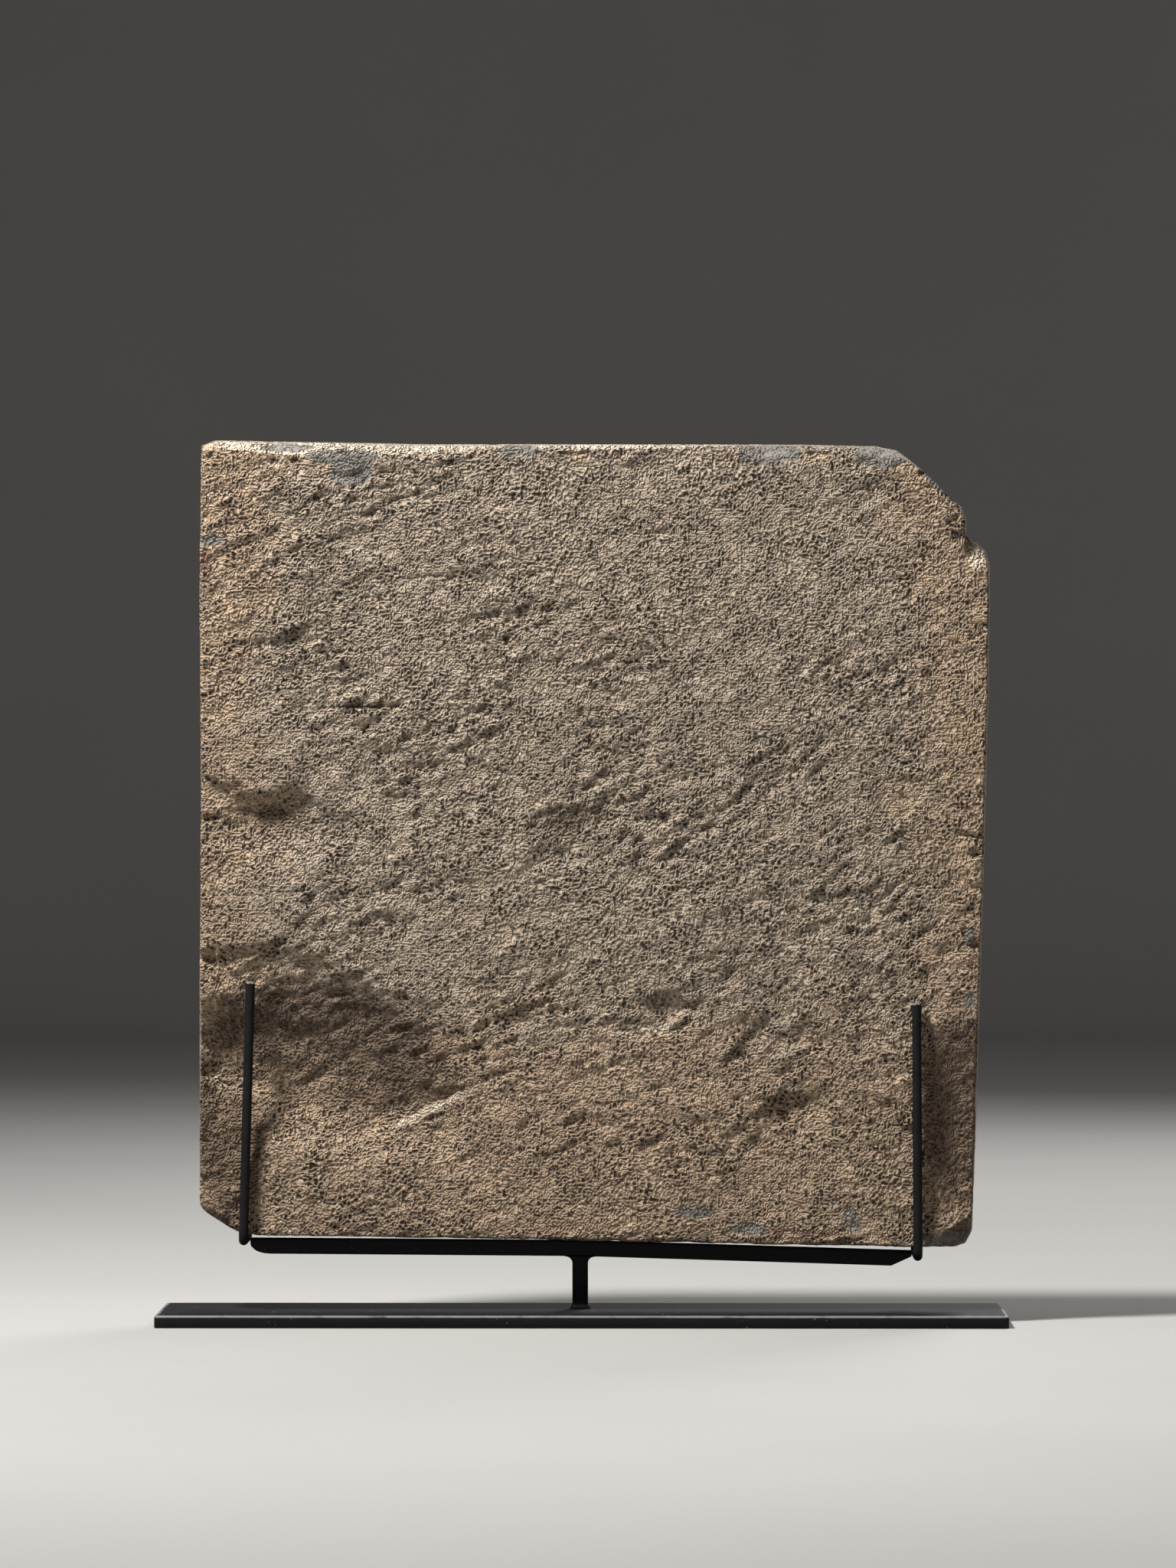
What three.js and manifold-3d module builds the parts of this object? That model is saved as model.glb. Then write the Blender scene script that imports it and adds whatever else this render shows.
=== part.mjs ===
// A roughly square stone panel standing on a black steel display stand, in millimetres, +Z up.
// The origin is the middle of the stand's underside. The rough-split back of the panel faces -Y, where the
// stand's two long prongs rise against it, and the dressed face looks along +Y.
import * as THREE from "three";
import { mergeVertices } from "three/addons/utils/BufferGeometryUtils.js";
import Module from "manifold-3d";

// Driving dimensions
const thickness = 48; // the panel, from its highest rough surface to its dressed face
const roughFaceY = -17; // the plane that the highest parts of the rough back reach
const dressedFaceY = roughFaceY + thickness;
const cradleY = 8; // the cross bar and post stand under the panel's middle

const plate = { width: 540, depth: 130, height: 8, cornerRadius: 3, edgeRound: 1.6 };
const barSize = 10; // square section of the post and the cross bar
const rod = { diameter: 6, bendRadius: 4.5, sides: 12, stepsPerStretch: 5 };
const touch = 0.3; // clearance kept between pieces that rest on each other

// The panel's outline, as the four edges of its larger, dressed face. Each runs left to right or upwards, and
// the two broken corners are shared between the edges that meet there.
const outline = {
  foot: [
    [-236, 67.9], [-219.7, 57.2], [-210, 55.3], [-29, 52.6], [49, 50.9], [208, 48], [239, 48], [246.4, 50],
  ],
  top: [
    [-245, 561], [-236, 564.4], [-100, 562], [136, 561.6], [188, 560.4], [202, 557.6], [216.6, 546.4],
    [223.6, 538.2], [233, 529.6],
  ],
  left: [
    [-236, 67.9], [-243.6, 71.4], [-246, 76], [-246.4, 190], [-245.2, 330], [-246.2, 470], [-245, 561],
  ],
  right: [
    [246.4, 50], [250, 57], [252, 110], [257, 270], [260.6, 400], [261.6, 484], [258.6, 493.6], [252, 498.6],
    [246.2, 502], [246.6, 513], [243.4, 521], [233, 529.6],
  ],
};
const undercut = 4; // how far the rough back's outline stands inside the dressed face's
const arris = 4; // the worn edge between the rough back and the sides
const gridCells = 42; // the rough back is modelled in this many cells each way

// The rough back's larger relief. Depth counts into the stone.
// A bowl is an elliptical hollow: where, half sizes, turn in degrees, depth. A negative depth is a swelling.
const bowls = [
  { at: [-152, 172], half: [92, 52], turn: -14, depth: 10 }, // the great spall low on the left
  { at: [-228, 150], half: [30, 80], turn: 0, depth: 5 }, // where it runs out through the left edge
  { at: [-206, 372], half: [42, 44], turn: 10, depth: -4 }, // a smooth tongue left standing
  { at: [-190, 305], half: [52, 26], turn: 8, depth: 6 }, // the hollow under the tongue
  { at: [-206, 258], half: [44, 24], turn: 14, depth: -4 }, // the ledge over the great spall
  { at: [-136, 392], half: [34, 14], turn: 0, depth: 4 },
  { at: [-10, 318], half: [30, 15], turn: 0, depth: 4 },
  { at: [48, 202], half: [36, 16], turn: -8, depth: 5 },
  { at: [112, 176], half: [14, 34], turn: -28, depth: 4 },
  { at: [138, 130], half: [26, 20], turn: -20, depth: 5 },
  { at: [238, 130], half: [26, 92], turn: 0, depth: 7 }, // the right edge falls away low down
];

// How deep a bowl cuts at a point of the face.
function bowlDepth({ at, half, turn, depth }, x, z) {
  const angle = THREE.MathUtils.degToRad(turn);
  const dx = x - at[0];
  const dz = z - at[1];
  const along = (dx * Math.cos(angle) + dz * Math.sin(angle)) / half[0];
  const across = (dz * Math.cos(angle) - dx * Math.sin(angle)) / half[1];
  const left = Math.max(0, 1 - along ** 2 - across ** 2);
  return depth * left * (2 - left);
}

// Slow waves left by the splitting, a millimetre or two deep.
function waves(x, z) {
  const long = Math.sin(x / 47 + z / 83) * Math.sin(z / 39 - x / 120);
  const short = Math.sin(x / 19 - z / 31) * Math.sin(z / 17 + x / 53);
  return 1.3 + 0.9 * long + 0.4 * short;
}

// The chip at the top of the right edge: its floor starts at a slanting line and falls away upwards.
const chip = { left: 245.2, startZ: 483, slant: 0.28, fall: 1.1 };
function chipDepth(x, z) {
  if (x < chip.left - undercut / 2) return 0;
  return Math.max(0, (z - chip.startZ + (x - chip.left) * chip.slant) * chip.fall);
}

function reliefDepth(x, z) {
  const hollows = bowls.reduce((sum, bowl) => sum + bowlDepth(bowl, x, z), 0);
  return Math.max(0, waves(x, z) + hollows) + chipDepth(x, z);
}

// The point at a share of a polyline's length.
function pointAlong(line, share) {
  const lengths = line.slice(1).map(([x, z], i) => Math.hypot(x - line[i][0], z - line[i][1]));
  let left = share * lengths.reduce((a, b) => a + b, 0);
  let i = 0;
  while (i < lengths.length - 1 && left > lengths[i]) {
    left -= lengths[i];
    i += 1;
  }
  const t = Math.min(1, left / lengths[i]);
  return [0, 1].map((k) => line[i][k] + (line[i + 1][k] - line[i][k]) * t);
}

// A Coons patch: the square (u, v) stretched over the four edges of the outline.
function onFace(u, v) {
  const [foot, top] = [pointAlong(outline.foot, u), pointAlong(outline.top, u)];
  const [left, right] = [pointAlong(outline.left, v), pointAlong(outline.right, v)];
  const corners = [outline.foot[0], outline.foot.at(-1), outline.top[0], outline.top.at(-1)];
  return [0, 1].map(
    (k) =>
      (1 - v) * foot[k] + v * top[k] + (1 - u) * left[k] + u * right[k] -
      ((1 - u) * (1 - v) * corners[0][k] + u * (1 - v) * corners[1][k] +
        (1 - u) * v * corners[2][k] + u * v * corners[3][k]),
  );
}

// Draws a point of the face in by a distance at the left, right and top, and leaves the foot where it is.
const span = { left: -246.4, right: 261.6, foot: 48, top: 564.4 };
function drawnIn([x, z], distance) {
  const middle = (span.left + span.right) / 2;
  const across = 1 - (2 * distance) / (span.right - span.left);
  const up = 1 - distance / (span.top - span.foot);
  return [middle + (x - middle) * across, span.foot + (z - span.foot) * up];
}

const wasm = await Module();
wasm.setup();

// A closed three.js geometry as a solid, and a solid as a geometry.
function toSolid(geometry) {
  const bare = geometry.index ? geometry.toNonIndexed() : geometry.clone();
  bare.deleteAttribute("normal");
  bare.deleteAttribute("uv");
  const merged = mergeVertices(bare, 1e-3);
  const vertProperties = merged.attributes.position.array;
  return new wasm.Manifold(
    new wasm.Mesh({ numProp: 3, vertProperties, triVerts: new Uint32Array(merged.index.array) }),
  );
}

function toGeometry(solid) {
  const mesh = solid.getMesh();
  const geometry = new THREE.BufferGeometry();
  geometry.setAttribute("position", new THREE.BufferAttribute(mesh.vertProperties, 3));
  geometry.setIndex(new THREE.BufferAttribute(mesh.triVerts, 1));
  return geometry;
}

// The panel: a gridded box whose near face takes the relief, trimmed flat at the dressed face.
function panelGeometry() {
  const past = 6; // the block is made this much too thick, and the trim takes it off
  const reach = 1300;
  const box = new THREE.BoxGeometry(1, 1, 1, gridCells, 2, gridCells);
  const place = box.attributes.position;
  for (let i = 0; i < place.count; i += 1) {
    const [u, w, v] = [place.getX(i), place.getY(i), place.getZ(i)].map((c) => c + 0.5);
    const edge = onFace(u, v);
    const [x, z] = drawnIn(edge, w < 0.25 ? undercut + arris / 2 : w < 0.75 ? undercut : 0);
    const rough = roughFaceY + reliefDepth(x, z);
    const y = w < 0.25 ? rough : w < 0.75 ? rough + arris : dressedFaceY + past;
    place.setXYZ(i, x, y, z);
  }
  const trim = new THREE.BoxGeometry(reach, reach, reach);
  trim.translate(0, dressedFaceY - reach / 2, 0);
  return toGeometry(toSolid(box).intersect(toSolid(trim)));
}

// A rectangle with rounded corners, centred on the origin.
function roundedRectangle(width, depth, radius) {
  const [x, y] = [width / 2, depth / 2];
  const shape = new THREE.Shape();
  shape.moveTo(-x + radius, -y);
  shape.lineTo(x - radius, -y);
  shape.absarc(x - radius, -y + radius, radius, -Math.PI / 2, 0);
  shape.lineTo(x, y - radius);
  shape.absarc(x - radius, y - radius, radius, 0, Math.PI / 2);
  shape.lineTo(-x + radius, y);
  shape.absarc(-x + radius, y - radius, radius, Math.PI / 2, Math.PI);
  shape.lineTo(-x, -y + radius);
  shape.absarc(-x + radius, -y + radius, radius, Math.PI, 1.5 * Math.PI);
  return shape;
}

// The base plate, flat underneath, with its upper edge ground round.
function plateGeometry() {
  const { width, depth, height, cornerRadius, edgeRound } = plate;
  const inner = roundedRectangle(width - 2 * edgeRound, depth - 2 * edgeRound, cornerRadius);
  const bevel = { bevelSize: edgeRound, bevelThickness: edgeRound, bevelSegments: 3 };
  const rounded = new THREE.ExtrudeGeometry(inner, { depth: height, curveSegments: 4, ...bevel });
  const trim = new THREE.BoxGeometry(2 * width, 2 * depth, height);
  trim.translate(0, 0, height / 2);
  rounded.translate(0, 0, -edgeRound);
  return toGeometry(toSolid(rounded).intersect(toSolid(trim)));
}

// The cross bar slopes down to the right and kinks at the post. Its ends butt against the arms, and their
// lower corners are ground off.
const bar = { left: -212.4, right: 210.4, leftTop: 53.2, middleTop: 51.7, rightTop: 45.3, corner: [13, 6.3] };
const postX = -1.5;
const barUnderPost = bar.middleTop - barSize;

// A profile in X and Z, made barSize deep and centred on the cradle's plane.
function barProfile(points) {
  const shape = new THREE.Shape(points.map(([x, z]) => new THREE.Vector2(x, z)));
  const solid = new THREE.ExtrudeGeometry(shape, { depth: barSize, bevelEnabled: false });
  solid.rotateX(Math.PI / 2);
  solid.translate(0, cradleY + barSize / 2, 0);
  return solid;
}

function crossBarGeometry() {
  const [run, rise] = bar.corner;
  return barProfile([
    [bar.left, bar.leftTop],
    [bar.left, bar.leftTop - barSize + rise],
    [bar.left + run, bar.leftTop - barSize],
    [postX, barUnderPost],
    [bar.right - run, bar.rightTop - barSize],
    [bar.right, bar.rightTop - barSize + rise],
    [bar.right, bar.rightTop],
    [postX, bar.middleTop],
  ]);
}

// The post, from the plate up to the bar, spreading at the top into its weld.
const weld = { reach: 5, drop: 4.5, steps: 5 };
function postGeometry() {
  const [half, foot] = [barSize / 2, plate.height];
  const underBar = (x) => {
    const [endX, endTop] = x < postX ? [bar.left, bar.leftTop] : [bar.right, bar.rightTop];
    const share = (x - postX) / (endX - postX);
    return barUnderPost + (endTop - bar.middleTop) * share - touch / 3;
  };
  const flare = (side) =>
    Array.from({ length: weld.steps + 1 }, (_, i) => {
      const angle = (i / weld.steps) * (Math.PI / 2);
      const x = postX + side * (half + weld.reach * (1 - Math.cos(angle)));
      return [x, underBar(x) - weld.drop * (1 - Math.sin(angle))];
    });
  return barProfile([
    [postX - half, foot],
    [postX + half, foot],
    ...flare(1),
    [postX, underBar(postX)],
    ...flare(-1).reverse(),
  ]);
}

// An arm is one bent rod: a long prong up the rough back, a leg under the panel and a short lip in front.
const lipHeight = 22;
const arms = {
  arm_left: { footX: -215.7, tipX: -211.2, tipZ: 218, legZ: 52.6 },
  arm_right: { footX: 213.7, tipX: 212.8, tipZ: 205.2, legZ: 42.9 },
};

// The centre line of a bent rod: straight stretches and bends that each take an equal share of the steps.
class BentLine extends THREE.Curve {
  constructor(stretches) {
    super();
    this.stretches = stretches;
  }

  stretchAt(share) {
    const place = Math.min(share * this.stretches.length, this.stretches.length - 1e-6);
    return [this.stretches[Math.floor(place)], place % 1];
  }

  getPointAt(share) {
    const [stretch, along] = this.stretchAt(share);
    return stretch.getPointAt(along);
  }

  getTangentAt(share) {
    const [stretch, along] = this.stretchAt(share);
    return stretch.getTangentAt(along);
  }
}

// Joins the corners of a rod's path by straight stretches, with a bend at each corner between the ends.
function bentLine(corners, bendRadius) {
  const stretches = [];
  let from = corners[0];
  corners.slice(1, -1).forEach((corner, i) => {
    const towards = (end) => end.clone().sub(corner).setLength(bendRadius).add(corner);
    const [before, after] = [towards(corners[i]), towards(corners[i + 2])];
    stretches.push(new THREE.LineCurve3(from, before));
    stretches.push(new THREE.QuadraticBezierCurve3(before, corner, after));
    from = after;
  });
  stretches.push(new THREE.LineCurve3(from, corners.at(-1)));
  return new BentLine(stretches);
}

function armGeometry({ footX, tipX, tipZ, legZ }) {
  const radius = rod.diameter / 2;
  const backY = roughFaceY - touch - radius;
  const frontY = dressedFaceY + touch + radius;
  const lean = (tipX - footX) / (tipZ - legZ);
  const line = bentLine(
    [
      new THREE.Vector3(tipX, backY, tipZ),
      new THREE.Vector3(footX, backY, legZ),
      new THREE.Vector3(footX, frontY, legZ),
      new THREE.Vector3(footX + lean * lipHeight, frontY, legZ + lipHeight),
    ],
    rod.bendRadius,
  );
  const section = new THREE.Shape().absarc(0, 0, radius, 0, 2 * Math.PI);
  return new THREE.ExtrudeGeometry(section, {
    steps: line.stretches.length * rod.stepsPerStretch,
    curveSegments: rod.sides / 2, // three.js gives an arc twice as many
    extrudePath: line,
  });
}

// Materials
const stone = new THREE.MeshStandardMaterial({ color: 0xa08c74, roughness: 0.95, metalness: 0 });
const blackSteel = new THREE.MeshStandardMaterial({ color: 0x131313, roughness: 0.45, metalness: 0.6 });
const sleeving = new THREE.MeshStandardMaterial({ color: 0x17181a, roughness: 0.35, metalness: 0 });

function piece(name, geometry, material) {
  const mesh = new THREE.Mesh(geometry, material);
  mesh.name = name;
  return mesh;
}

const stand = new THREE.Group();
stand.add(piece("base_plate", plateGeometry(), blackSteel));
stand.add(piece("post", postGeometry(), blackSteel));
stand.add(piece("cross_bar", crossBarGeometry(), blackSteel));
for (const [name, arm] of Object.entries(arms)) {
  stand.add(piece(name, armGeometry(arm), sleeving));
}

const whole = new THREE.Group();
whole.add(stand);
whole.add(piece("stone_panel", panelGeometry(), stone));

export default whole;
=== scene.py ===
import math

import bpy
import numpy as np
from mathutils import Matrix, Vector


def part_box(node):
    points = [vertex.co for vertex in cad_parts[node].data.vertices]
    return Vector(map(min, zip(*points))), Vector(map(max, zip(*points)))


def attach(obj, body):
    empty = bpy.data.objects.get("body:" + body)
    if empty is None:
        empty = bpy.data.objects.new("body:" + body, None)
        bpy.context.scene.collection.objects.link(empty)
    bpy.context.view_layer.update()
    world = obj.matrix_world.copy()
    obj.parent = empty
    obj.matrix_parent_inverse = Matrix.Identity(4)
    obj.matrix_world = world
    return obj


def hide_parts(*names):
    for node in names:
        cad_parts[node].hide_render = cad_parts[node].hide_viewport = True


# A squarish stone slab standing on a black steel display stand. The slab's rough-split back faces the camera.
# Lengths in the dictionaries are millimetres, apart from the camera's and the lamps', which are metres.
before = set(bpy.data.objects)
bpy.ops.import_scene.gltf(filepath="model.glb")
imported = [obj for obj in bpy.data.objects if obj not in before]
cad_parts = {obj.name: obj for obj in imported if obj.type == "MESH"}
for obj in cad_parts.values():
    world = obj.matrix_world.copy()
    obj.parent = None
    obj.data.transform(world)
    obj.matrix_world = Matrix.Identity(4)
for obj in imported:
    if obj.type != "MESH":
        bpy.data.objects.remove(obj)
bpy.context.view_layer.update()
mm = 0.001


# Rises from 0 to 1 as value goes from low to high, with flat ends: t squared times (3 - 2t).
def eased(value, low, high):
    t = np.clip((value - low) / (high - low), 0, 1)
    return t * t * (3 - 2 * t)


# Gradient noise, about -1 to 1: at each whole-numbered point a random direction, dotted with the way to the
# sample, blended between the four nearest points with an eased weight.
def noise(x, z, seed):
    angles = np.random.default_rng(seed).uniform(0, 2 * math.pi, (256, 256))
    column, row = np.floor(x).astype(int), np.floor(z).astype(int)
    fx, fz = x - column, z - row

    def corner(dx, dz):
        angle = angles[(column + dx) % 256, (row + dz) % 256]
        return np.cos(angle) * (fx - dx) + np.sin(angle) * (fz - dz)

    across = fx ** 3 * (fx * (6 * fx - 15) + 10)
    up = fz ** 3 * (fz * (6 * fz - 15) + 10)
    low = corner(0, 0) * (1 - across) + corner(1, 0) * across
    high = corner(0, 1) * (1 - across) + corner(1, 1) * across
    return 1.5 * (low * (1 - up) + high * up)


# Noise at several sizes added up: each next one is half as wide and a share as strong.
def layeredNoise(x, z, width, seed, layers=3, share=0.5):
    total = np.zeros(np.broadcast(x, z).shape)
    for layer in range(layers):
        scale = 2 ** layer / width
        total += share ** layer * noise(x * scale, z * scale, seed + layer)
    return total


# Turns a point by an angle in degrees: the coordinates along the turned axis and across it.
def turned(x, z, degrees):
    angle = math.radians(degrees)
    along = x * math.cos(angle) + z * math.sin(angle)
    return along, z * math.cos(angle) - x * math.sin(angle)


# A smooth-shaded mesh object from an array of points in millimetres and a list of faces.
def makePiece(name, points, faces):
    mesh = bpy.data.meshes.new(name)
    mesh.from_pydata((np.asarray(points) * mm).tolist(), [], faces)
    mesh.polygons.foreach_set("use_smooth", [True] * len(mesh.polygons))
    mesh.update()
    piece = bpy.data.objects.new(name, mesh)
    bpy.context.scene.collection.objects.link(piece)
    return piece


def storeAttribute(piece, name, values):
    layer = piece.data.attributes.new(name, "FLOAT", "POINT")
    layer.data.foreach_set("value", np.asarray(values, dtype=np.float32))


# A wire is a node's output that can be used in a sum. Arithmetic on it adds Math nodes to its sheet.
class Wire:
    def __init__(self, sheet, socket):
        self.sheet = sheet
        self.socket = socket

    def maths(self, operation, first, second):
        return self.sheet.node("ShaderNodeMath", {"operation": operation}, {0: first, 1: second})

    def __add__(self, other):
        return self.maths("ADD", self, other)

    def __radd__(self, other):
        return self.maths("ADD", other, self)

    def __sub__(self, other):
        return self.maths("SUBTRACT", self, other)

    def __rsub__(self, other):
        return self.maths("SUBTRACT", other, self)

    def __mul__(self, other):
        return self.maths("MULTIPLY", self, other)

    def __rmul__(self, other):
        return self.maths("MULTIPLY", other, self)

    def __abs__(self):
        return self.maths("ABSOLUTE", self, 0)


# A sheet is a material's node tree, with one way to add a node and a few short forms built on it.
class Sheet:
    def __init__(self, name):
        self.material = bpy.data.materials.new(name)
        self.material.use_nodes = True
        self.tree = self.material.node_tree
        self.tree.nodes.clear()
        self.place = self.node("ShaderNodeTexCoord", output="Object")

    # Adds a node: settings are set first, then inputs by name or number from values or wires.
    def node(self, kind, settings=None, inputs=None, output=0):
        made = self.tree.nodes.new(kind)
        for name, value in (settings or {}).items():
            setattr(made, name, value)
        for name, value in (inputs or {}).items():
            if isinstance(value, Wire):
                self.tree.links.new(value.socket, made.inputs[name])
            else:
                made.inputs[name].default_value = value
        return Wire(self, made.outputs[output]) if made.outputs else None

    # Noise about a size in millimetres, 0 to 1.
    def grain(self, size, detail=2.0, roughness=0.5, stretch=None, place=None):
        place = place or self.place
        if stretch:
            turn, scale = stretch
            place = self.node(
                "ShaderNodeMapping",
                inputs={"Vector": place, "Rotation": (0, math.radians(turn), 0), "Scale": scale},
            )
        inputs = {"Vector": place, "Scale": 1 / (size * mm), "Detail": detail, "Roughness": roughness}
        return self.node("ShaderNodeTexNoise", inputs=inputs, output="Fac")

    # The object's coordinates pushed about by noise of a given size, by up to a reach in millimetres.
    def pushed(self, size, reach):
        inputs = {"Vector": self.place, "Scale": 1 / (size * mm), "Detail": 1.0}
        push = self.node("ShaderNodeTexNoise", inputs=inputs, output="Color")
        push = self.node("ShaderNodeVectorMath", {"operation": "SUBTRACT"}, {0: push, 1: (0.5, 0.5, 0.5)})
        push = self.node("ShaderNodeVectorMath", {"operation": "SCALE"}, {0: push, "Scale": reach * 2 * mm})
        return self.node("ShaderNodeVectorMath", {"operation": "ADD"}, {0: self.place, 1: push})

    def attribute(self, name):
        return self.node("ShaderNodeAttribute", {"attribute_name": name}, output="Fac")

    # 0 below low, 1 above high, eased between.
    def step(self, value, low, high):
        settings = {"interpolation_type": "SMOOTHSTEP"}
        inputs = {"Value": value, "From Min": low, "From Max": high}
        return self.node("ShaderNodeMapRange", settings, inputs)

    def mixed(self, factor, first, second, blend="MIX"):
        settings = {"data_type": "RGBA", "blend_type": blend}
        return self.node("ShaderNodeMix", settings, {0: factor, 6: first, 7: second}, output=2)

    # A bump from a height in millimetres.
    def bump(self, height):
        return self.node("ShaderNodeBump", inputs={"Height": height, "Distance": mm, "Strength": 1.0})

    # Ends the sheet with one shader: an input's name is written with underlines for its spaces.
    def finish(self, **inputs):
        named = {name.replace("_", " "): value for name, value in inputs.items()}
        shader = self.node("ShaderNodeBsdfPrincipled", inputs=named)
        self.node("ShaderNodeOutputMaterial", inputs={"Surface": shader})
        return self.material


# A colour written as it looks on a screen, 0 to 255, as linear light.
def paint(red, green, blue):
    def linear(value):
        share = value / 255
        return share / 12.92 if share <= 0.04045 else ((share + 0.055) / 1.055) ** 2.4

    return (linear(red), linear(green), linear(blue), 1.0)


# The camera stands far off in front of the rough face with a long lens. Eye and target are each x and height.
view = {
    "distance": 5.3, "lens": 191.0, "eye": (0.053, 0.3553), "target": (0.0037, 0.3436),
    "facePlane": -0.014,
}
camera = bpy.data.objects.new("camera", bpy.data.cameras.new("camera"))
camera.data.lens = view["lens"]
camera.data.clip_end = 50
camera.location = (view["eye"][0], view["facePlane"] - view["distance"], view["eye"][1])
aim = Vector((view["target"][0], view["facePlane"], view["target"][1]))
camera.rotation_euler = (aim - camera.location).to_track_quat("-Z", "Y").to_euler()
bpy.context.scene.collection.objects.link(camera)
bpy.context.scene.camera = camera

# A small strong lamp high on the left, a wide weak one in front, and one behind for the dressed face.
studio = {
    "lampsAim": (0, 0, 0.33),
    "keyFrom": (-0.42, -0.34, 0.84), "keyDistance": 2.4, "keySize": 0.45, "keyPower": 130,
    "fillFrom": (0.55, -0.80, 0.15), "fillDistance": 2.8, "fillSize": 1.8, "fillPower": 3,
    "backFrom": (0.35, 0.85, 0.55), "backDistance": 3.0, "backSize": 1.2, "backPower": 45,
    "world": 0.05,
}


def addLight(name, fromWhere, distance, size, power):
    data = bpy.data.lights.new(name, "AREA")
    data.shape = "DISK"
    data.size = size
    data.energy = power
    light = bpy.data.objects.new(name, data)
    centre = Vector(studio["lampsAim"])
    light.location = centre + Vector(fromWhere).normalized() * distance
    light.rotation_euler = (centre - light.location).to_track_quat("-Z", "Y").to_euler()
    bpy.context.scene.collection.objects.link(light)


addLight("key", studio["keyFrom"], studio["keyDistance"], studio["keySize"], studio["keyPower"])
addLight("fill", studio["fillFrom"], studio["fillDistance"], studio["fillSize"], studio["fillPower"])
addLight("back", studio["backFrom"], studio["backDistance"], studio["backSize"], studio["backPower"])

world = bpy.data.worlds.new("studio")
bpy.context.scene.world = world
world.use_nodes = True
world.node_tree.nodes["Background"].inputs["Color"].default_value = (1, 1, 1, 1)
world.node_tree.nodes["Background"].inputs["Strength"].default_value = studio["world"]
bpy.context.scene.view_settings.view_transform = "Standard"

sweep = {
    "floorRadius": 5600, "bendRadius": 1800, "wallTop": 6000, "around": 96,
    "darker": paint(160, 158, 154), "paler": paint(166, 164, 160), "cloud": 300,
}


# A round studio: the floor is a disc that turns up all round through a quarter circle and goes on as a wall.
def makeSweep():
    turn = np.linspace(0, math.pi / 2, 25)
    bent = sweep["floorRadius"] + sweep["bendRadius"] * np.sin(turn)
    reach = np.concatenate([[sweep["floorRadius"] / 4], bent, bent[-1:]])
    rise = np.concatenate([[0], sweep["bendRadius"] * (1 - np.cos(turn)), [sweep["wallTop"]]])
    spin = np.linspace(0, 2 * math.pi, sweep["around"], endpoint=False)
    x, y = reach[:, None] * np.cos(spin), reach[:, None] * np.sin(spin)
    points = np.stack([x, y, rise[:, None] + 0 * x], axis=-1).reshape(-1, 3)
    grid = np.arange(len(points)).reshape(len(reach), -1)
    following = np.roll(grid, -1, axis=1)
    faces = np.stack([grid[:-1], grid[1:], following[1:], following[:-1]], axis=-1).reshape(-1, 4)
    piece = makePiece("backdrop", points, faces.tolist() + [grid[0].tolist()])
    sheet = Sheet("pale paper")
    tone = sheet.mixed(sheet.grain(sweep["cloud"]), sweep["darker"], sweep["paler"])
    piece.data.materials.append(sheet.finish(Base_Color=tone, Roughness=0.9))
    return piece


makeSweep()
print("camera, light and backdrop set")


# The slab's four edges on its dressed face, left to right or upwards. Neighbouring edges share an end point.
outline = {
    "foot": [
        (-236, 67.9), (-219.7, 57.2), (-210, 55.3), (-29, 52.6), (49, 50.9), (208, 48), (239, 48),
        (246.4, 50),
    ],
    "top": [
        (-245, 561), (-236, 564.4), (-100, 562), (136, 561.6), (188, 560.4), (202, 557.6), (216.6, 546.4),
        (223.6, 538.2), (233, 529.6),
    ],
    "left": [
        (-236, 67.9), (-243.6, 71.4), (-246, 76), (-246.4, 190), (-245.2, 330), (-246.2, 470), (-245, 561),
    ],
    "right": [
        (246.4, 50), (250, 57), (252, 110), (257, 270), (260.6, 400), (261.6, 484), (258.6, 493.6),
        (252, 498.6), (246.2, 502), (246.6, 513), (243.4, 521), (233, 529.6),
    ],
}
stoneLow, stoneHigh = [np.array(corner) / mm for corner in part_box("stone_panel")]

stone = {
    "cells": 258, "rimCells": 8, "rimCell": 0.0018,  # in all, narrow at each end, a narrow one's share
    "undercut": 1.6,  # the rough face's outline stands this far inside the dressed face's
    "lying": 1.9,  # how deep the rough face lies on average behind its highest points
    "waves": 1.6, "lumps": 1.7, "knobs": 1.0, "flakes": 0.7,
    "arris": 1.5, "arrisWear": 1.8,
    "bevelSlope": 1.1,
    "sideDepth": 48, "sideRough": 1.3, "sideLeast": 0.2,
    "dressedInset": 1.2, "dressedMargin": 22, "dressedField": 1.0,
    "pecked": 0.35, "dressedWaves": 0.25,
}

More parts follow.
